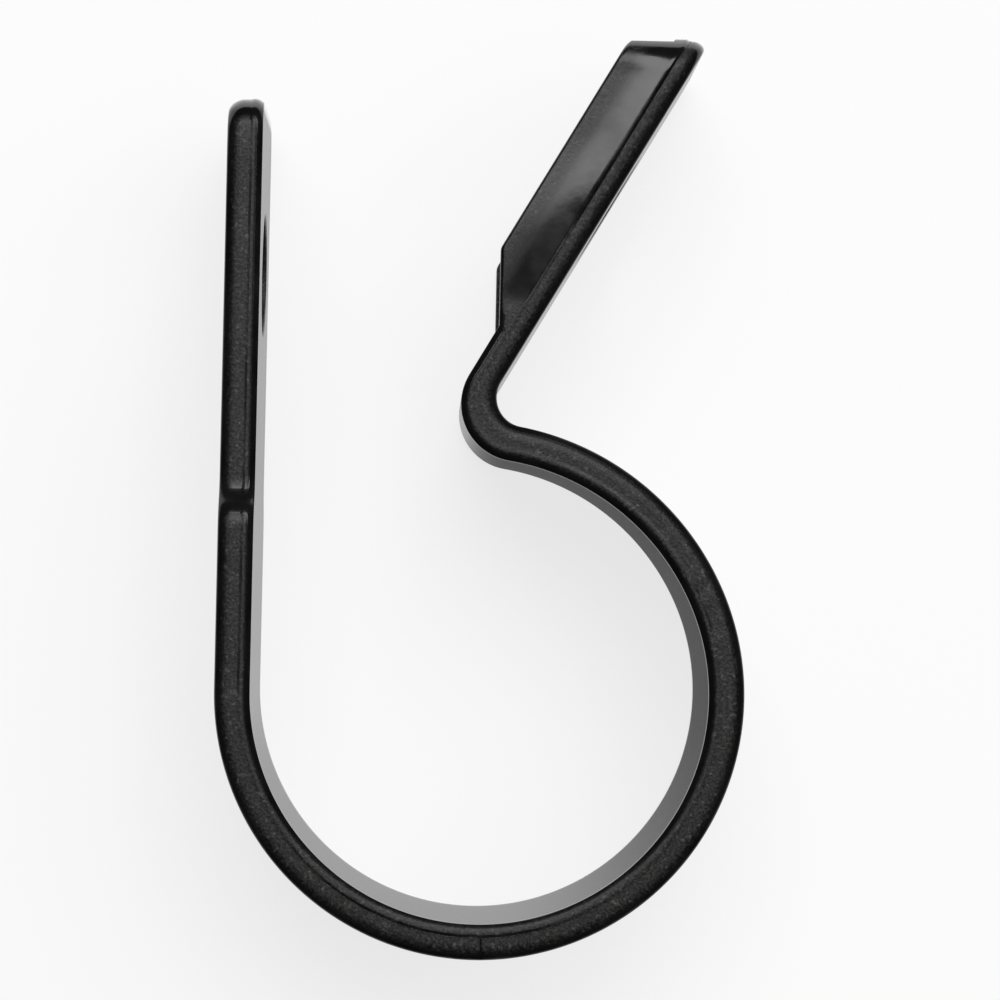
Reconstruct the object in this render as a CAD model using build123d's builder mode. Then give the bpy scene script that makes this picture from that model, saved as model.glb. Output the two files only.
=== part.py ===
from build123d import *
import os
from math import acos, atan2, cos, degrees, radians, sin, sqrt

os.makedirs("parts", exist_ok=True)

# Nylon cable clamp, moulded in one piece and drawn open, as it leaves the mould.
# The origin lies on the axis of the cable bore, halfway across the strap. Z runs along the cable,
# Y runs up the fixed tab, and X runs from the fixed tab towards the far side of the loop.
# Sizes are in millimetres and angles in degrees.

# Strap and loop: a bore for a three-quarter inch cable bundle.
bore_radius = 9.525
strap_thickness = 1.5
strap_width = 12.7

# Throat: past this angle the round loop eases onto a slightly larger radius, up to the bend.
throat_start = 24
throat_ease = 0.53

# Bend: the strap turns back sharply here and leaves a mouth for the cable to go in.
mouth_gap = 8.5
bend_inner_radius = 2.4
bend_outer_radius = 1.23

# Lug: the second tab, leaning away from the fixed tab, thinner than the strap, with a side wall
# along each edge. The walls take the fixed tab between them when the clamp is shut.
lug_lean = 30.3
lug_thickness = 1.3
lug_rise = 16.55
wall_height = 1.63
wall_thickness = 0.75
wall_rise = 7.55
wall_heel_radius = 0.4
wall_end_radius = 1.0

# Fixed tab: straight, tangent to the loop, and narrowed above its shoulders to pass the walls.
tab_rise = 13.75
tab_clearance = 0.1
shoulder_drop = 3.2
shoulder_radius = 1.4

# Screw holes: one in each tab, the same distance from the tab's end.
hole_radius = 2.65
hole_from_end = 7.15

# Rounded corners and edges.
tab_corner_radius = 1.4
outer_edge_radius = 0.5
inner_edge_chamfer = 0.3
wall_edge_radius = 0.15

# Spare length by which a cutting body runs past the surface that it cuts.
cut_spare = 2.0
# Largest distance at which an edge counts as lying on a drawn line.
on_line = 0.01

# Sizes that follow from the ones above.
outer_radius = bore_radius + strap_thickness
tab_end = outer_radius + tab_rise
lug_end = outer_radius + lug_rise
wall_start = outer_radius + wall_rise
shoulder_level = outer_radius - shoulder_drop
half_width = strap_width / 2
tab_setback = wall_thickness + tab_clearance
tab_half_width = half_width - tab_setback
strap_middle = bore_radius + strap_thickness / 2

# Directions of the lug: along it, and square to it towards its outer face.
along_lug = Vector(sin(radians(lug_lean)), cos(radians(lug_lean)))
out_of_lug = Vector(cos(radians(lug_lean)), -sin(radians(lug_lean)))

# The throat's centre is set back from the loop's, so the two curves meet without a kink.
throat_centre = Vector(-throat_ease, 0).rotate(Axis.Z, throat_start)

# The inner side of the bend touches the mouth gap and the throat's inner face.
bend_reach = bore_radius + throat_ease + bend_inner_radius
bend_x = mouth_gap + bend_inner_radius - bore_radius
bend_y = throat_centre.Y + sqrt(bend_reach**2 - (bend_x - throat_centre.X) ** 2)
inner_bend_centre = Vector(bend_x, bend_y)

# A point on the lug's inner face, where that face leaves the bend.
lug_root = inner_bend_centre - out_of_lug * bend_inner_radius


def lug_point(depth, height):
    """Point at a height above the loop's axis, so deep behind the lug's inner face."""
    start = lug_root + out_of_lug * depth
    return start + along_lug * ((height - start.Y) / along_lug.Y)


def lug_point_below(point, depth):
    """Point straight below another one, parallel to the fixed tab, so deep in the lug."""
    start = lug_root + out_of_lug * depth
    return start + along_lug * ((point.X - start.X) / along_lug.X)


def outer_bend_centre():
    """Centre that is one radius clear of the lug's outer face and of the throat's outer face."""
    start = lug_root + out_of_lug * (lug_thickness + bend_outer_radius) - throat_centre
    reach = outer_radius + throat_ease + bend_outer_radius
    back = start.dot(along_lug)
    return throat_centre + start + along_lug * (sqrt(back**2 - start.dot(start) + reach**2) - back)


def strap_face(face_radius, bend_centre, bend_radius, lug_depth):
    """One face of the strap seen along the cable: loop, throat, bend and lug in turn."""
    reach = bend_centre - throat_centre
    turn = degrees(atan2(reach.Y, reach.X))
    with BuildLine() as face:
        CenterArc((0, 0), face_radius, 180, 180 + throat_start)
        CenterArc(throat_centre, face_radius + throat_ease, throat_start, turn - throat_start)
        CenterArc(bend_centre, bend_radius, turn + 180, -turn - lug_lean)
        Line(bend_centre - out_of_lug * bend_radius, lug_point(lug_depth, lug_end))
    return face.line


def on_face(edge, face):
    """True for an edge along one side of the strap that lies on the given face."""
    middle = edge.center()
    return abs(middle.Z) > on_line and face.distance_to(Vector(middle.X, middle.Y)) < on_line


outer_face = strap_face(outer_radius, outer_bend_centre(), bend_outer_radius, lug_thickness)
inner_face = strap_face(bore_radius, inner_bend_centre, bend_inner_radius, 0)

# Strap seen along the cable, from the foot of the fixed tab to the end of the lug.
with BuildSketch() as strap_profile:
    with BuildLine():
        add(outer_face)
        add(inner_face)
        Line((-outer_radius, 0), (-bore_radius, 0))
        Line(lug_point(lug_thickness, lug_end), lug_point(0, lug_end))
    make_face()

# Fixed tab seen face on: its foot on the loop, two shoulders, narrower sides, rounded corners.
shoulder_turn = degrees(acos(1 - tab_setback / (2 * shoulder_radius)))
shoulder_foot = shoulder_level - shoulder_radius * sin(radians(shoulder_turn))
with BuildSketch(Plane.YZ.offset(-bore_radius)) as tab_outline:
    with BuildLine():
        foot = Line((0, half_width), (shoulder_foot, half_width))
        shoulder_out = JernArc(foot @ 1, foot % 1, shoulder_radius, -shoulder_turn)
        shoulder_in = JernArc(shoulder_out @ 1, shoulder_out % 1, shoulder_radius, shoulder_turn)
        side = Line(shoulder_in @ 1, (tab_end - tab_corner_radius, tab_half_width))
        corner = JernArc(side @ 1, side % 1, tab_corner_radius, -90)
        Line(corner @ 1, (tab_end, 0))
        Line((0, 0), (0, half_width))
        mirror(about=Plane.XZ)
    make_face()

# What is cut off the lug, seen from its side, to round the corners of its end.
with BuildSketch(Plane.YZ.offset(cut_spare - bore_radius)) as lug_waste:
    with Locations((lug_end - tab_corner_radius, 0)):
        Rectangle(
            tab_corner_radius + cut_spare,
            strap_width + cut_spare,
            align=(Align.MIN, Align.CENTER),
        )
    with Locations((lug_end, 0)):
        RectangleRounded(
            2 * (tab_corner_radius + cut_spare),
            strap_width,
            tab_corner_radius,
            align=(Align.MAX, Align.CENTER),
            mode=Mode.SUBTRACT,
        )
lug_waste_length = lug_point(lug_thickness, lug_end).X + bore_radius

# Side wall of the lug seen along the cable. Its lower end is parallel to the fixed tab.
heel = lug_point(-wall_height, wall_start)
wall_tip = lug_point(-wall_height, lug_end)
wall_root_depth = lug_thickness / 3
with BuildSketch() as wall_profile:
    with BuildLine():
        Polyline(
            lug_point_below(heel, wall_root_depth),
            heel,
            wall_tip,
            lug_point(wall_root_depth, lug_end),
            close=True,
        )
    make_face()
    fillet(wall_profile.vertices().sort_by_distance(heel)[0], wall_heel_radius)
    fillet(wall_profile.vertices().sort_by_distance(wall_tip)[0], wall_end_radius)

# Places of the two screw holes, halfway through each tab.
tab_hole = Plane((-strap_middle, tab_end - hole_from_end, 0), z_dir=(-1, 0, 0))
lug_hole_face = lug_point(0, lug_end) - along_lug * hole_from_end
lug_hole = Plane(lug_hole_face + out_of_lug * (lug_thickness / 2), z_dir=out_of_lug)

# One side wall, with its upper edges eased before it joins the strap.
with BuildPart() as wall:
    with BuildSketch(Plane.XY.offset(half_width)):
        add(wall_profile.sketch)
    extrude(amount=-wall_thickness)
    wall_top = wall.faces().filter_by(lambda f: f.normal_at().dot(out_of_lug) < -1 + on_line)
    fillet(wall_top.edges().filter_by(Plane.XY), wall_edge_radius)
    extrude(lug_waste.sketch, amount=lug_waste_length, mode=Mode.SUBTRACT)

# The whole moulding.
with BuildPart() as clamp:
    # Strap and fixed tab, with their inner edges broken and their outer edges rounded.
    add(strap_profile.sketch)
    extrude(amount=half_width, both=True)
    extrude(tab_outline.sketch, amount=-strap_thickness)
    chamfer(clamp.edges().filter_by(lambda e: on_face(e, inner_face)), inner_edge_chamfer)
    extrude(lug_waste.sketch, amount=lug_waste_length, mode=Mode.SUBTRACT)
    fillet(clamp.edges().filter_by(lambda e: on_face(e, outer_face)), outer_edge_radius)
    # Side walls of the lug.
    add(wall.part)
    mirror(wall.part, about=Plane.XY)
    # Screw holes, square to the tabs.
    with Locations(tab_hole, lug_hole):
        Cylinder(hole_radius, strap_thickness + cut_spare, mode=Mode.SUBTRACT)

clamp.part.label = "clamp"
export_step(clamp.part, "parts/clamp.step")
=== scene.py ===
from dataclasses import dataclass
from math import acos, asin, atan2, cos, degrees, radians, sin, sqrt
from typing import NamedTuple

import bmesh
import bpy
from mathutils import Matrix, Vector


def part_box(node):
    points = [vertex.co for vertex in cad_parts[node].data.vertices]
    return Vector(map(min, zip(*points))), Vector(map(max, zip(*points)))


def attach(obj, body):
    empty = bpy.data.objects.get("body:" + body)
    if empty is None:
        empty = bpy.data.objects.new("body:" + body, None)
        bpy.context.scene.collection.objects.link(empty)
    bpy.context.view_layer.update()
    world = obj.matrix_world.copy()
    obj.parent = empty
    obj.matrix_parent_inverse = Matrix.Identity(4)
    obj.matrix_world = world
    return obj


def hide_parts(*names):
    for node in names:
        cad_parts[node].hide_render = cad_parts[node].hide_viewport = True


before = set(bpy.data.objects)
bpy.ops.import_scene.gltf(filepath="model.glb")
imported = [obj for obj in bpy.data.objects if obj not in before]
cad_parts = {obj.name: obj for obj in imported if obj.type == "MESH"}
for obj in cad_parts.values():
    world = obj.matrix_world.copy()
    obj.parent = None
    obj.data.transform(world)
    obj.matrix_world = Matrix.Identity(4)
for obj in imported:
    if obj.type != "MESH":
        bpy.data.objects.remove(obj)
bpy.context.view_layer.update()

# The strap. The real clamp is one strap of black nylon, moulded open and bent like a question mark.
# Each station below is one cut across it, with its sizes in millimetres and its finish there.
# Round the loop and up the tab the outer face lies a hair inside the solid, to stay within its box.
bore_radius = 9.525
strap_thickness = 1.5
hair = 0.005
outer_radius = bore_radius + strap_thickness - hair
half_width = 6.35
far_from_end = 99.0
inner_face_grain = 0.3
stations = []


@dataclass
class Station:
    """One cut across the strap. Grain runs from 0 where it is smooth to 1 where it is grained."""

    outer: Vector
    inner: Vector
    half: float = half_width
    from_end: float = far_from_end
    wall: float = 0.0
    past_walls: bool = False
    slant: float = 1.0
    groove: float = 0.0
    edge_grain: float = 1.0
    inner_grain: float = inner_face_grain
    parting_line: float = 0.1
    smooth_from: float = 3.0


# The fixed tab. It stands straight up from the loop, and a soft shoulder on either edge narrows it
# so that it passes between the lug's walls. Its top corners are rounded.
tab_end = 24.775
tab_half = 5.5
corner_radius = 1.4
shoulder_level = 7.825
shoulder_radius = 1.6
shoulder_turn = acos(1 - (half_width - tab_half) / (2 * shoulder_radius))
shoulder_reach = shoulder_radius * sin(shoulder_turn)
cuts_from_end = [0.0, 0.012, 0.025, 0.045, 0.07, 0.1, 0.14, 0.19, 0.25]
cuts_from_end += [0.32, 0.4, 0.5, 0.62, 0.76, 0.9, 1.05, 1.2, corner_radius]
grained_tilt = 8
smooth_tilt = 28


def steps(start, end, count):
    """Evenly spaced values after start, up to and including end."""
    return [start + (end - start) * (i + 1) / count for i in range(count)]


def fade(x, start, end):
    """Smooth step from 0 at start to 1 at end; end may be the lower of the two."""
    share = min(1.0, max(0.0, (x - start) / (end - start)))
    return share * share * (3 - 2 * share)


def ragged(x):
    """Slow uneven wave around 1, for marks that come and go along the strap."""
    return 1 + 0.45 * sin(2.3 * x) * sin(0.71 * x + 1.3) + 0.25 * sin(6.1 * x + 0.4)


def tab_half_at(y):
    """Half width of the fixed tab: full below the shoulder, narrow above, two arcs in between."""
    rise = y - shoulder_level
    if rise >= shoulder_reach:
        return tab_half
    if rise <= -shoulder_reach:
        return half_width
    if rise >= 0:
        return tab_half + shoulder_radius - sqrt(shoulder_radius**2 - (shoulder_reach - rise) ** 2)
    return half_width - shoulder_radius + sqrt(shoulder_radius**2 - (shoulder_reach + rise) ** 2)


tab_levels = [tab_end - cut for cut in cuts_from_end]
tab_levels += steps(tab_levels[-1], shoulder_level + shoulder_reach, 16)
tab_levels += steps(shoulder_level + shoulder_reach, shoulder_level - shoulder_reach, 28)
tab_levels += steps(shoulder_level - shoulder_reach, 0, 10)
for y in tab_levels:
    from_shoulder = abs(y - shoulder_level)
    shoulder_tilt = degrees(asin(max(0.0, shoulder_reach - from_shoulder) / shoulder_radius))
    end_tilt = degrees(asin(max(0.0, corner_radius - tab_end + y) / corner_radius))
    stations.append(Station(
        Vector((-outer_radius, y)),
        Vector((-bore_radius, y)),
        half=tab_half_at(y),
        from_end=tab_end - y,
        edge_grain=fade(max(shoulder_tilt, end_tilt), smooth_tilt, grained_tilt),
        parting_line=0.4 * ragged(y),
    ))

# The loop. It wraps the cable bundle, and its inner face grows duller towards the throat. A faint
# witness line crosses its edges at the bottom, where two inserts of the mould met.
throat_start = 24.0
witness_angle = 271.5
witness_half_turn = 0.3
witness_depth = 0.03
witness_smoothness = 0.9
loop_angles = steps(180, 270.5, 60)
loop_angles += [271.0, 271.2, 271.35, witness_angle, 271.65, 271.8, 272.0]
loop_angles += steps(272, 360 + throat_start, 75)
for angle in loop_angles:
    ray = Vector((cos(radians(angle)), sin(radians(angle))))
    at_bottom = fade(angle, 215, 240) * fade(angle, 300, 275)
    at_throat = fade(angle, 350, 390)
    stations.append(Station(
        ray * outer_radius,
        ray * bore_radius,
        groove=witness_depth * max(0.0, 1 - abs(angle - witness_angle) / witness_half_turn),
        inner_grain=inner_face_grain + 0.12 * fade(angle, 180, 205) + 0.88 * fade(angle, 272, 363),
        parting_line=(0.12 + 0.5 * at_bottom + 0.35 * at_throat) * ragged(angle / 5),
        smooth_from=3 + 18 * fade(angle, 205, 235) * fade(angle, 335, 305),
    ))

# The bend. The loop eases onto a slightly wider throat, which turns back on itself through a tight
# bend, with a wide nose on the cable side and a small crook behind. Each face follows its own arcs.
throat_ease = 0.53
mouth_gap = 8.5
nose_radius = 2.4
crook_radius = 1.23
lug_lean = 30.3
lug_thickness = 1.3
throat_grain = 1.3
throat_duller = throat_grain - inner_face_grain
along_lug = Vector((sin(radians(lug_lean)), cos(radians(lug_lean))))
out_of_lug = Vector((cos(radians(lug_lean)), -sin(radians(lug_lean))))
throat_centre = -throat_ease * Vector((cos(radians(throat_start)), sin(radians(throat_start))))
nose_x = mouth_gap + nose_radius - bore_radius
nose_reach = bore_radius + throat_ease + nose_radius
nose_y = throat_centre.y + sqrt(nose_reach**2 - (nose_x - throat_centre.x) ** 2)
nose_centre = Vector((nose_x, nose_y))
lug_root = nose_centre - out_of_lug * nose_radius
crook_start = lug_root + out_of_lug * (lug_thickness + crook_radius) - throat_centre
crook_reach = outer_radius + throat_ease + crook_radius
crook_back = crook_start.dot(along_lug)
crook_slide = sqrt(crook_back**2 - crook_start.dot(crook_start) + crook_reach**2) - crook_back
crook_centre = throat_centre + crook_start + along_lug * crook_slide


def on_arc(centre, radius, angle):
    return centre + radius * Vector((cos(radians(angle)), sin(radians(angle))))


def throat_end(bend_centre):
    """Angle round the throat's centre at which the throat meets an arc of the bend."""
    reach = bend_centre - throat_centre
    return degrees(atan2(reach.y, reach.x))


crook_turn = throat_end(crook_centre)
nose_turn = throat_end(nose_centre)
for part in steps(0, 1, 44):
    outer_angle = throat_start + part * (crook_turn - throat_start)
    inner_angle = throat_start + part * (nose_turn - throat_start)
    stations.append(Station(
        on_arc(throat_centre, outer_radius + throat_ease, outer_angle),
        on_arc(throat_centre, bore_radius + throat_ease, inner_angle),
        inner_grain=throat_grain,
        parting_line=(0.47 - 0.39 * part) * ragged(outer_angle / 5),
    ))
for part in steps(0, 1, 36):
    stations.append(Station(
        on_arc(crook_centre, crook_radius, crook_turn + 180 - part * (crook_turn + lug_lean)),
        on_arc(nose_centre, nose_radius, nose_turn + 180 - part * (nose_turn + lug_lean)),
        inner_grain=inner_face_grain + throat_duller * fade(part, 0.6, 0),
        parting_line=0.08,
    ))

# The lug. It leans away from the fixed tab, is thinner than the strap, and has a wall along each
# edge with an upright lower end. The walls are drafted and run out in the lug's rounded corners.
lug_end = 27.575
wall_height = 1.63
wall_start = 18.575
wall_inner = 5.6
wall_draft = 0.19
draft_span = 2.0
draft_starts = 19.0
draft_full = 23.5
draft_full_wall = 1.2
wall_heel_radius = 0.4
wall_tip_radius = 1.0


def lug_point(depth, height):
    """Point at a height, so deep behind the lug's inner face."""
    start = lug_root + out_of_lug * depth
    return start + along_lug * ((height - start.y) / along_lug.y)


def rounded_corner(before, corner, after, radius, count):
    """Points along an arc that rounds the corner between two straight lines."""
    to_before = (before - corner).normalized()
    to_after = (after - corner).normalized()
    half_angle = acos(to_before.dot(to_after)) / 2
    centre = corner + (to_before + to_after).normalized() * (radius / sin(half_angle))
    touch = radius * cos(half_angle) / sin(half_angle)
    first = corner + to_before * touch - centre
    last = corner + to_after * touch - centre
    return [centre + radius * first.lerp(last, i / count).normalized() for i in range(count + 1)]


heel = lug_point(-wall_height, wall_start)
foot = lug_root + along_lug * ((heel.x - lug_root.x) / along_lug.x)
tip = lug_point(-wall_height, lug_end)
wall_line = [foot]
wall_line += rounded_corner(foot, heel, tip, wall_heel_radius, 12)
wall_line += rounded_corner(heel, tip, lug_point(0, lug_end), wall_tip_radius, 24)
wall_line += [lug_point(0, lug_end)]


def wall_above(outer, inner):
    """Height of the wall over the inner face, measured along a station's own line."""
    ray = (inner - outer).normalized()
    side = Vector((-ray.y, ray.x))
    best = 0.0
    for a, b in zip(wall_line, wall_line[1:]):
        off_a = (a - inner).dot(side)
        off_b = (b - inner).dot(side)
        if off_a != off_b and min(off_a, off_b) <= 0 <= max(off_a, off_b):
            hit = a.lerp(b, off_a / (off_a - off_b))
            best = max(best, (hit - inner).dot(ray))
    return best


def wall_drop(y, above, wall):
    """How far the drafted side of a wall lies below the strap's edge, above the parting line."""
    across = min(1.0, above / draft_span)
    drafted = fade(y, draft_starts, draft_full) * fade(wall, 0, draft_full_wall)
    drafted *= fade(y, lug_end - 0.3, lug_end - 1.5)
    return wall_draft * drafted * across * (1.6 - 0.6 * across)


# A station turns on its way up the lug, from square across the lug to level with its end.
wall_half_in_corner = wall_inner - half_width + corner_radius
walls_run_out = corner_radius - sqrt(corner_radius**2 - wall_half_in_corner**2)
crook_exit = crook_centre - out_of_lug * crook_radius
level_from = lug_end - 3.0
heel_past = wall_start + 0.9
lug_levels = steps(lug_root.y, foot.y, 14)
lug_levels += steps(foot.y, heel_past, 36)
lug_levels += steps(heel_past, level_from, 18)
lug_levels += steps(level_from, lug_end - corner_radius, 10)
lug_levels += [lug_end - cut for cut in reversed(cuts_from_end[:-1]) if cut > walls_run_out + 0.01]
lug_levels += [lug_end - walls_run_out]
end_cuts = [walls_run_out]
end_cuts += [cut for cut in reversed(cuts_from_end) if cut < walls_run_out - 0.005]


def lug_station(y, from_end, past_walls):
    """One cut across the lug. The parting line stands out more towards the lug's end."""
    turned = min(1.0, (y - lug_root.y) / (level_from - lug_root.y))
    outer = lug_point(lug_thickness, y + (crook_exit.y - lug_root.y) * (1 - turned))
    inner = lug_point(0, y)
    slant = (inner - outer).length / lug_thickness
    line_y = min(y, lug_end - walls_run_out)
    line = 0.1 + 0.25 * fade(line_y, 15, 18) + 0.65 * fade(line_y, 18.5, 21.5)
    return Station(
        outer,
        inner,
        from_end=from_end,
        wall=0.0 if past_walls else wall_above(outer, inner) / slant,
        past_walls=past_walls,
        slant=slant,
        parting_line=line * (0.7 + 0.3 * ragged(2 * line_y)),
    )


stations += [lug_station(y, lug_end - y, past_walls=False) for y in lug_levels]
stations += [lug_station(lug_end - cut, cut, past_walls=True) for cut in end_cuts]

# The skin. Every cut across the strap is the same closed outline: the outer face, its rounded edge,
# the flat edge with the mould's parting step in it, the lug's wall or the broken inner edge, and the
# inner face. The outlines are joined into one closed mesh, which also carries the finish.
MM = 0.001
outer_wide = 0.85
outer_tight = 0.14
outer_tight_at_end = 0.45
inner_round = (0.55, 0.1)
wall_round = 0.15
wall_round_share = 0.45
round_break = 42
parting_from_inner = 0.45
witness_stop = 0.16
witness_healed = 0.12
step_starts = 0.085
step_ends = 0.005
step_flank = 0.03
least_step = 0.008
line_step = 0.055
outer_face_grain = 0.2
wall_side_grain = 0.05
wall_top_grain = 0.6
inner_face_share = 0.92
polish_from_end = (0.65, 0.35)
face_shares = (0.0, 0.3, 0.6, 0.85)


class EdgePoint(NamedTuple):
    """A point on the edge of one cut, by its inset from the outline and its depth in the strap."""

    inset: float
    depth: float
    grain: float
    wear: float = 0.0
    fall: float = 0.0


class CutPoint(NamedTuple):
    """A point on the outline of one cut, by its depth in the strap and its distance from the middle."""

    depth: float
    half: float
    grain: float
    wear: float = 0.0


def between(first, second, share):
    return first + (second - first) * share


def round_extent(radii):
    """How far a rounded edge, wide up to the break and tight after it, reaches along the flat edge."""
    return between(radii[1], radii[0], sin(radians(round_break)))


def round_place(radii, tilt):
    """Distance along the flat edge and below it, where a rounded edge has turned by a tilt."""
    wide, tight = radii
    first = radians(min(tilt, round_break))
    second = radians(max(tilt, round_break))
    turn = radians(round_break)
    along = wide * sin(first) + tight * (sin(second) - sin(turn))
    below = wide * (1 - cos(first)) + tight * (cos(turn) - cos(second))
    return along, below


def rubbed_at(tilt):
    """Wear of a rounded edge, most where it stands out."""
    return max(0.0, 1 - abs(tilt - 50) / 20)


def half_at(half, inset, from_end):
    """Half width of the strap at an inset from its outline, near one of its ends."""
    if from_end >= corner_radius:
        return half - inset
    if from_end <= inset:
        return half - corner_radius
    return half - corner_radius + sqrt((corner_radius - inset) ** 2 - (corner_radius - from_end) ** 2)


def outer_edge(station, parting):
    """Edge from the outer face to the parting line: rounded, then flat, then the parting step."""
    step = least_step + line_step * station.parting_line
    grain = station.edge_grain
    outer_grain = grain * max(0.0, 1 - witness_smoothness * station.groove / witness_depth)
    step_grain = grain * (1 - station.parting_line)
    blunt = fade(station.from_end, 1.8, 0.3)
    radii = (outer_wide, between(outer_tight, outer_tight_at_end, blunt))
    reach = round_extent(radii)
    edge = []
    for tilt in (90, 74, 58, 42, 36, 30, 24, 18, 12, 6, 0):
        along, below = round_place(radii, tilt)
        inset = step + below + station.groove * fade(tilt, 45, 30)
        edge.append(EdgePoint(inset, reach - along, outer_grain * fade(tilt, 34, 10), rubbed_at(tilt)))
    edge.append(EdgePoint(step + station.groove, reach + 0.04, outer_grain))
    edge.append(EdgePoint(step + station.groove, parting - witness_stop, outer_grain))
    edge.append(EdgePoint(step, parting - witness_healed, grain))
    edge.append(EdgePoint(0.85 * step, parting - step_starts, step_grain))
    edge.append(EdgePoint(0.15 * step, parting - step_ends, step_grain))
    return edge


def upper_edge(station, thick, parting, room):
    """Edge from the parting line to the inner face, up the wall's side and over its top."""
    wall = station.wall
    top = thick + wall

    def fall_at(depth):
        return wall_drop(station.inner.y, depth - parting, wall)

    def grain_at(depth):
        wall_grain = between(wall_side_grain, wall_top_grain, fade(depth - parting, 0.8, 1.8))
        return between(station.edge_grain, wall_grain, fade(wall, 0, 0.95))

    radii = [between(radius, wall_round, fade(wall, 0, 0.4)) for radius in inner_round]
    if wall > 0:
        radii = [min(radius, wall_round_share * room) for radius in radii]
    if station.past_walls:
        radii = [0.0, 0.0]
    reach = round_extent(radii)
    knee = min(thick, top - reach)
    flank = parting + step_flank
    edge = [EdgePoint(0.0, flank, grain_at(parting), station.parting_line)]
    for depth in steps(flank, knee, 3) + steps(knee, top - reach, 12):
        edge.append(EdgePoint(0.0, depth, grain_at(depth), fall=fall_at(depth)))
    for tilt in (9, 18, 27, 42, 58, 74, 90):
        along, below = round_place(radii, tilt)
        inset, fall = (0.0, fall_at(top) + below) if wall > 0 else (below, 0.0)
        grain = grain_at(top) * fade(tilt, station.smooth_from + 18, station.smooth_from)
        edge.append(EdgePoint(inset, top - reach + along, grain, rubbed_at(tilt), fall))
    return edge


def trimmed(edge, from_end):
    """An edge near an end of the strap: the points past the end gather where the edge meets it."""

    def meeting(kept, past_end):
        share = (from_end - kept.inset) / (past_end.inset - kept.inset)
        return EdgePoint(from_end, between(kept.depth, past_end.depth, share), 0.0)

    inside = [i for i, point in enumerate(edge) if point.inset <= from_end]
    first, last = inside[0], inside[-1]
    left = edge[first : last + 1]
    if first > 0:
        left = [meeting(edge[first], edge[first - 1])] * first + left
    if last + 1 < len(edge):
        left = left + [meeting(edge[last], edge[last + 1])] * (len(edge) - 1 - last)
    return left


def inner_side(station, thick, end, room):
    """Points from the end of the edge to the middle of the inner face, down the wall's inner side."""
    floor_half, floor_depth = end.half * inner_face_share, end.depth
    if station.past_walls:
        floor_half = end.half
    if station.wall > 0:
        floor_half, floor_depth = wall_inner, thick
    radius = min(wall_round, wall_round_share * room, 0.4 * station.wall)
    wall_grain = between(station.inner_grain, 1, fade(station.wall, 0, 0.5))
    points = []
    for turn in (0, 22.5, 45, 67.5, 90):
        depth = end.depth - radius * (1 - cos(radians(turn)))
        points.append(CutPoint(depth, floor_half + radius * (1 - sin(radians(turn))), wall_grain))
    for depth in steps(end.depth - radius, floor_depth + radius, 12):
        points.append(CutPoint(depth, floor_half, wall_grain))
    for turn in (30, 60, 90):
        depth = floor_depth + radius * (1 - sin(radians(turn)))
        half = floor_half - radius * (1 - cos(radians(turn)))
        points.append(CutPoint(depth, half, station.inner_grain))
    floor_edge = points[-1].half
    for share in reversed(face_shares):
        points.append(CutPoint(floor_depth, floor_edge * share, station.inner_grain))
    return points


def near_half(station):
    """Half of one cut's outline, from the middle of the outer face to the middle of the inner one."""
    thick = (station.inner - station.outer).length / station.slant
    parting = thick - parting_from_inner
    top_fall = wall_drop(station.inner.y, thick + station.wall - parting, station.wall)
    room = max(0.0, half_at(station.half, 0.0, station.from_end) - top_fall - wall_inner)
    edge = outer_edge(station, parting) + upper_edge(station, thick, parting, room)
    outline = []
    for point in trimmed(edge, station.from_end):
        half = half_at(station.half, point.inset, station.from_end) - point.fall
        outline.append(CutPoint(point.depth, half, point.grain, point.wear))
    start = outline[0]
    face = [CutPoint(start.depth, start.half * share, outer_face_grain) for share in face_shares]
    return face + outline + inner_side(station, thick, outline[-1], room)


bm = bmesh.new()
grain_layer = bm.verts.layers.float.new("grain")
wear_layer = bm.verts.layers.float.new("wear")
polish_layer = bm.verts.layers.float.new("polish")
rings = []
for station in stations:
    across = (station.inner - station.outer).normalized()
    outline = near_half(station)
    outline += [point._replace(half=-point.half) for point in reversed(outline[1:-1])]
    ring = []
    for point in outline:
        place = station.outer + across * point.depth * station.slant
        vert = bm.verts.new((place.x * MM, place.y * MM, point.half * MM))
        vert[grain_layer] = point.grain
        vert[wear_layer] = point.wear
        vert[polish_layer] = fade(station.from_end, *polish_from_end)
        ring.append(vert)
    rings.append(ring)
for i in range(len(rings) - 1):
    if stations[i].past_walls != stations[i + 1].past_walls:
        continue
    ring, next_ring = rings[i], rings[i + 1]
    for j in range(len(ring)):
        bm.faces.new((ring[j - 1], ring[j], next_ring[j], next_ring[j - 1]))
bm.faces.new(list(reversed(rings[0])))
bm.faces.new(rings[-1])
bmesh.ops.remove_doubles(bm, verts=bm.verts, dist=0.0005 * MM)
bmesh.ops.dissolve_degenerate(bm, edges=bm.edges, dist=0.0002 * MM)
bmesh.ops.recalc_face_normals(bm, faces=bm.faces)
skin_mesh = bpy.data.meshes.new("clamp_skin")
bm.to_mesh(skin_mesh)
bm.free()
skin = bpy.data.objects.new("clamp_skin", skin_mesh)
bpy.context.scene.collection.objects.link(skin)

# The screw holes. One goes square through each tab, the same distance from its end. Pins of the
# mould leave them with a dull wall, and their rims are barely broken.
hole_radius = 2.65
hole_from_end = 7.15
hole_sides = 96
hole_grain = 1.1
rim = 0.05
past_face = 0.3
sharp_edge = 32


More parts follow.
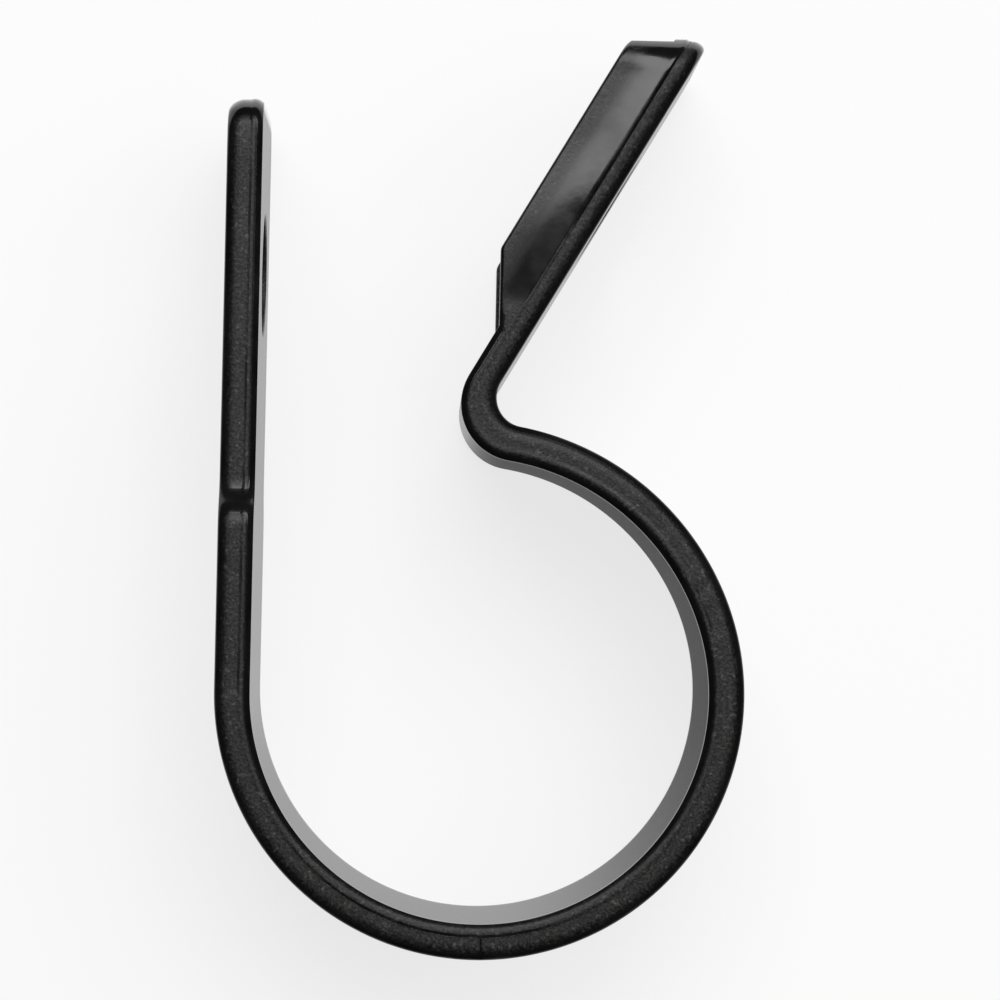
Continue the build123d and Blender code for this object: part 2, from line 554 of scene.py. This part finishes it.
def cut_hole(middle, axis, thick):
    """Cuts a screw hole through the skin, round an axis that points to the tab's outer face."""
    profile = [(hole_radius + rim + past_face, -thick / 2 - past_face), (hole_radius, -thick / 2 + rim)]
    profile += [(radius, -height) for radius, height in reversed(profile)]
    turn = Vector((0, 0, 1)).rotation_difference(axis.to_3d()).to_matrix().to_4x4()
    turn.translation = middle.to_3d()
    cutter_bm = bmesh.new()
    ringlets = []
    for radius, height in profile:
        ringlet = []
        for side in range(hole_sides):
            angle = radians(side * 360 / hole_sides)
            place = turn @ Vector((radius * cos(angle), radius * sin(angle), height))
            ringlet.append(cutter_bm.verts.new(place * MM))
        ringlets.append(ringlet)
    for low, high in zip(ringlets, ringlets[1:]):
        for side in range(hole_sides):
            cutter_bm.faces.new((low[side - 1], low[side], high[side], high[side - 1]))
    cutter_bm.faces.new(list(reversed(ringlets[0])))
    cutter_bm.faces.new(ringlets[-1])
    bmesh.ops.recalc_face_normals(cutter_bm, faces=cutter_bm.faces)
    cutter_mesh = bpy.data.meshes.new("hole_cutter")
    cutter_bm.to_mesh(cutter_mesh)
    cutter_bm.free()
    cutter = bpy.data.objects.new("hole_cutter", cutter_mesh)
    bpy.context.scene.collection.objects.link(cutter)
    cut = skin.modifiers.new("hole", "BOOLEAN")
    cut.operation = "DIFFERENCE"
    cut.solver = "EXACT"
    cut.object = cutter
    bpy.context.view_layer.objects.active = skin
    bpy.ops.object.modifier_apply(modifier=cut.name)
    bpy.data.objects.remove(cutter)
    bpy.data.meshes.remove(cutter_mesh)

    on_surface = 0.001
    back_to_hole = turn.inverted()
    for vert, grain in zip(skin.data.vertices, skin.data.attributes["grain"].data):
        place = back_to_hole @ (vert.co / MM)
        if abs(place.z) > thick or place.xy.length > hole_radius + rim + on_surface:
            continue
        if place.xy.length < hole_radius + on_surface:
            grain.value = hole_grain
        else:
            grain.value = outer_face_grain if place.z > 0 else inner_face_grain


tab_middle = bore_radius + strap_thickness / 2
cut_hole(Vector((-tab_middle, tab_end - hole_from_end)), Vector((-1, 0)), strap_thickness)
lug_hole = lug_point(0, lug_end) - along_lug * hole_from_end + out_of_lug * (lug_thickness / 2)
cut_hole(lug_hole, out_of_lug, lug_thickness)
skin.data.shade_smooth()
skin.data.set_sharp_from_angle(angle=radians(sharp_edge))

# The nylon. It is black and a little glossy, with the fine grain of a spark-eroded mould on its
# edges, uneven gloss and a faint ripple on its smooth faces, and rubbed corners gone a shade paler.
nylon = bpy.data.materials.new("black_nylon")
nylon.use_nodes = True
nodes = nylon.node_tree.nodes
links = nylon.node_tree.links
bsdf = nodes["Principled BSDF"]
bsdf.inputs["IOR"].default_value = 1.53
bsdf.inputs["Coat Roughness"].default_value = 0.12
on_object = nodes.new("ShaderNodeTexCoord")


def finish_mask(name):
    """A finish that the skin's mesh carries at each of its points."""
    node = nodes.new("ShaderNodeAttribute")
    node.attribute_name = name
    return node.outputs["Fac"]


def noise(scale, detail):
    node = nodes.new("ShaderNodeTexNoise")
    node.inputs["Scale"].default_value = scale
    node.inputs["Detail"].default_value = detail
    links.new(on_object.outputs["Object"], node.inputs["Vector"])
    return node.outputs["Fac"]


def ramp(value, low, low_colour, high, high_colour):
    node = nodes.new("ShaderNodeValToRGB")
    node.color_ramp.elements[0].position = low
    node.color_ramp.elements[0].color = low_colour
    node.color_ramp.elements[1].position = high
    node.color_ramp.elements[1].color = high_colour
    links.new(value, node.inputs["Fac"])
    return node.outputs["Color"]


def blend_colour(amount, first, second):
    node = nodes.new("ShaderNodeMix")
    node.data_type = "RGBA"
    links.new(amount, node.inputs["Factor"])
    links.new(first, node.inputs["A"])
    links.new(second, node.inputs["B"])
    return node.outputs["Result"]


def times(first, second):
    node = nodes.new("ShaderNodeMath")
    node.operation = "MULTIPLY"
    links.new(first, node.inputs[0])
    links.new(second, node.inputs[1])
    return node.outputs["Value"]


def ranged(value, from_low, from_high, to_low, to_high):
    node = nodes.new("ShaderNodeMapRange")
    node.inputs["From Min"].default_value = from_low
    node.inputs["From Max"].default_value = from_high
    node.inputs["To Min"].default_value = to_low
    node.inputs["To Max"].default_value = to_high
    links.new(value, node.inputs["Value"])
    return node.outputs["Result"]


def bumped(height, strength, distance, normal=None):
    node = nodes.new("ShaderNodeBump")
    node.inputs["Strength"].default_value = strength
    node.inputs["Distance"].default_value = distance
    links.new(height, node.inputs["Height"])
    if normal:
        links.new(normal, node.inputs["Normal"])
    return node.outputs["Normal"]


grain_mask = finish_mask("grain")
wear_mask = finish_mask("wear")
smooth_mask = ranged(grain_mask, 0.0, 0.28, 1.0, 0.0)
grit = noise(9000, 3)
glint_fleck = noise(5600, 2)
mottle = noise(700, 4)
ripple = noise(1500, 3)

smooth_tone = ramp(mottle, 0.3, (0.003, 0.003, 0.0031, 1), 0.7, (0.0065, 0.0064, 0.0064, 1))
# Grained faces are lighter than smooth ones and flecked with pale specks. This is partly the grain's
# own tone and partly painted glints: the soft box's sparkle on the grain, painted into the colour.
grit_and_sheen_tone = ramp(grit, 0.4, (0.002, 0.002, 0.002, 1), 0.64, (0.02, 0.0196, 0.0189, 1))
painted_glint_tone = ramp(glint_fleck, 0.0, (0.07, 0.069, 0.067, 1), 1.0, (0.09, 0.089, 0.086, 1))
grain_and_glint_tone = blend_colour(ranged(glint_fleck, 0.6, 0.74, 0.0, 0.65), grit_and_sheen_tone, painted_glint_tone)
skin_tone = blend_colour(grain_mask, smooth_tone, grain_and_glint_tone)
rubbed = times(wear_mask, ranged(ripple, 0.5, 0.72, 0.0, 0.55))
rubbed_tone = ramp(grit, 0.3, (0.012, 0.012, 0.012, 1), 0.7, (0.03, 0.0295, 0.029, 1))
links.new(blend_colour(rubbed, skin_tone, rubbed_tone), bsdf.inputs["Base Color"])

patches = times(ranged(mottle, 0.3, 0.7, -0.05, 0.07), smooth_mask)
rough = ranged(grain_mask, 0.0, 1.3, 0.0, 0.62)
links.new(ranged(patches, -0.05, 0.07, 0.1, 0.22), rough.node.inputs["To Min"])
links.new(rough, bsdf.inputs["Roughness"])
links.new(finish_mask("polish"), bsdf.inputs["Coat Weight"])

rippled = bumped(times(ripple, smooth_mask), 0.32, 0.02 * MM)
grained = bumped(times(grit, ranged(grain_mask, 0.35, 0.85, 0.0, 1.0)), 0.6, 0.025 * MM, rippled)
links.new(grained, bsdf.inputs["Normal"])
skin.data.materials.append(nylon)
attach(skin, "root")
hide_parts("clamp")

# The floor. It is a plain white sheet, and the clamp lies on it, flat on one edge of the strap.
# To the camera and in reflections the sheet is lifted to white, but it keeps a faint shadow.
lift_to_white = 0.77
lowest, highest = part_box("clamp")
bpy.ops.mesh.primitive_plane_add(size=3.0, location=(0, 0, lowest.z))
floor = bpy.context.object
floor.name = "floor"
white = bpy.data.materials.new("white_floor")
white.use_nodes = True
sheet_nodes = white.node_tree.nodes
sheet_links = white.node_tree.links
sheet = sheet_nodes["Principled BSDF"]
sheet.inputs["Base Color"].default_value = (0.9, 0.9, 0.9, 1)
sheet.inputs["Roughness"].default_value = 0.9
sheet.inputs["Specular IOR Level"].default_value = 0.0
glow = sheet_nodes.new("ShaderNodeEmission")
glow.inputs["Strength"].default_value = 1.0
ray_kind = sheet_nodes.new("ShaderNodeLightPath")


def either(first, second):
    node = sheet_nodes.new("ShaderNodeMath")
    node.operation = "MAXIMUM"
    sheet_links.new(first, node.inputs[0])
    sheet_links.new(second, node.inputs[1])
    return node.outputs["Value"]


mirrored = either(ray_kind.outputs["Is Glossy Ray"], ray_kind.outputs["Is Transmission Ray"])
seen = either(ray_kind.outputs["Is Camera Ray"], mirrored)
lift = sheet_nodes.new("ShaderNodeMath")
lift.operation = "MULTIPLY"
lift.inputs[1].default_value = lift_to_white
sheet_links.new(seen, lift.inputs[0])
lifted = sheet_nodes.new("ShaderNodeMixShader")
sheet_links.new(lift.outputs["Value"], lifted.inputs["Fac"])
sheet_links.new(sheet.outputs["BSDF"], lifted.inputs[1])
sheet_links.new(glow.outputs["Emission"], lifted.inputs[2])
sheet_links.new(lifted.outputs["Shader"], sheet_nodes["Material Output"].inputs["Surface"])
floor.data.materials.append(white)

# The light. A soft box stands above the picture's upper edge and shows in the clamp's gloss. A wide
# panel overhead gives even light without a reflection of its own, and the room is almost dark.
world = bpy.data.worlds.new("studio")
bpy.context.scene.world = world
world.use_nodes = True
world.node_tree.nodes["Background"].inputs["Color"].default_value = (1, 1, 1, 1)
world.node_tree.nodes["Background"].inputs["Strength"].default_value = 0.02


def soft_light(name, place, width, height, power, shows):
    lamp_data = bpy.data.lights.new(name, "AREA")
    lamp_data.shape = "RECTANGLE"
    lamp_data.size = width
    lamp_data.size_y = height
    lamp_data.energy = power
    lamp = bpy.data.objects.new(name, lamp_data)
    bpy.context.scene.collection.objects.link(lamp)
    lamp.location = place
    lamp.rotation_euler = place.to_track_quat("Z", "Y").to_euler()
    lamp.visible_glossy = shows


soft_light("softbox", Vector((0.0, 0.21, 0.40)), 0.32, 0.24, 1.05, True)
soft_light("panel", Vector((0.30, 0.28, 0.70)), 1.0, 1.0, 6.0, False)

# The camera. It looks almost straight along the cable, from a little below and left of the clamp's
# middle, and is slightly rolled. Pixels are those of the photo, counted from its upper left corner.
picture_pixels = 1000
pixel = 0.0415 * MM
axis_pixel = (479.5, 694.6)
eye_pixel = (427, 602)
centre_pixel = (500, 500)
eye_above = 199 * MM
roll = radians(1.22)
sensor_width = 36


def on_near_edge(u, v):
    """Place on the strap's near edge that a pixel of the photo shows."""
    right_of_axis = pixel * (u - axis_pixel[0])
    above_axis = pixel * (axis_pixel[1] - v)
    x = right_of_axis * cos(roll) - above_axis * sin(roll)
    y = right_of_axis * sin(roll) + above_axis * cos(roll)
    return Vector((x, y, highest.z))


eye = on_near_edge(*eye_pixel) + Vector((0, 0, eye_above))
aim = on_near_edge(*centre_pixel)
back = (eye - aim).normalized()
right = Vector((-sin(roll), cos(roll), 0)).cross(back).normalized()
up = back.cross(right)
camera_data = bpy.data.cameras.new("camera")
camera_data.sensor_width = sensor_width
camera_data.lens = sensor_width * (eye - aim).length / (pixel * picture_pixels)
camera_data.clip_start = 0.01
camera = bpy.data.objects.new("camera", camera_data)
bpy.context.scene.collection.objects.link(camera)
camera.matrix_world = Matrix((
    (right.x, up.x, back.x, eye.x),
    (right.y, up.y, back.y, eye.y),
    (right.z, up.z, back.z, eye.z),
    (0, 0, 0, 1),
))
bpy.context.scene.camera = camera

bpy.context.scene.view_settings.view_transform = "Standard"
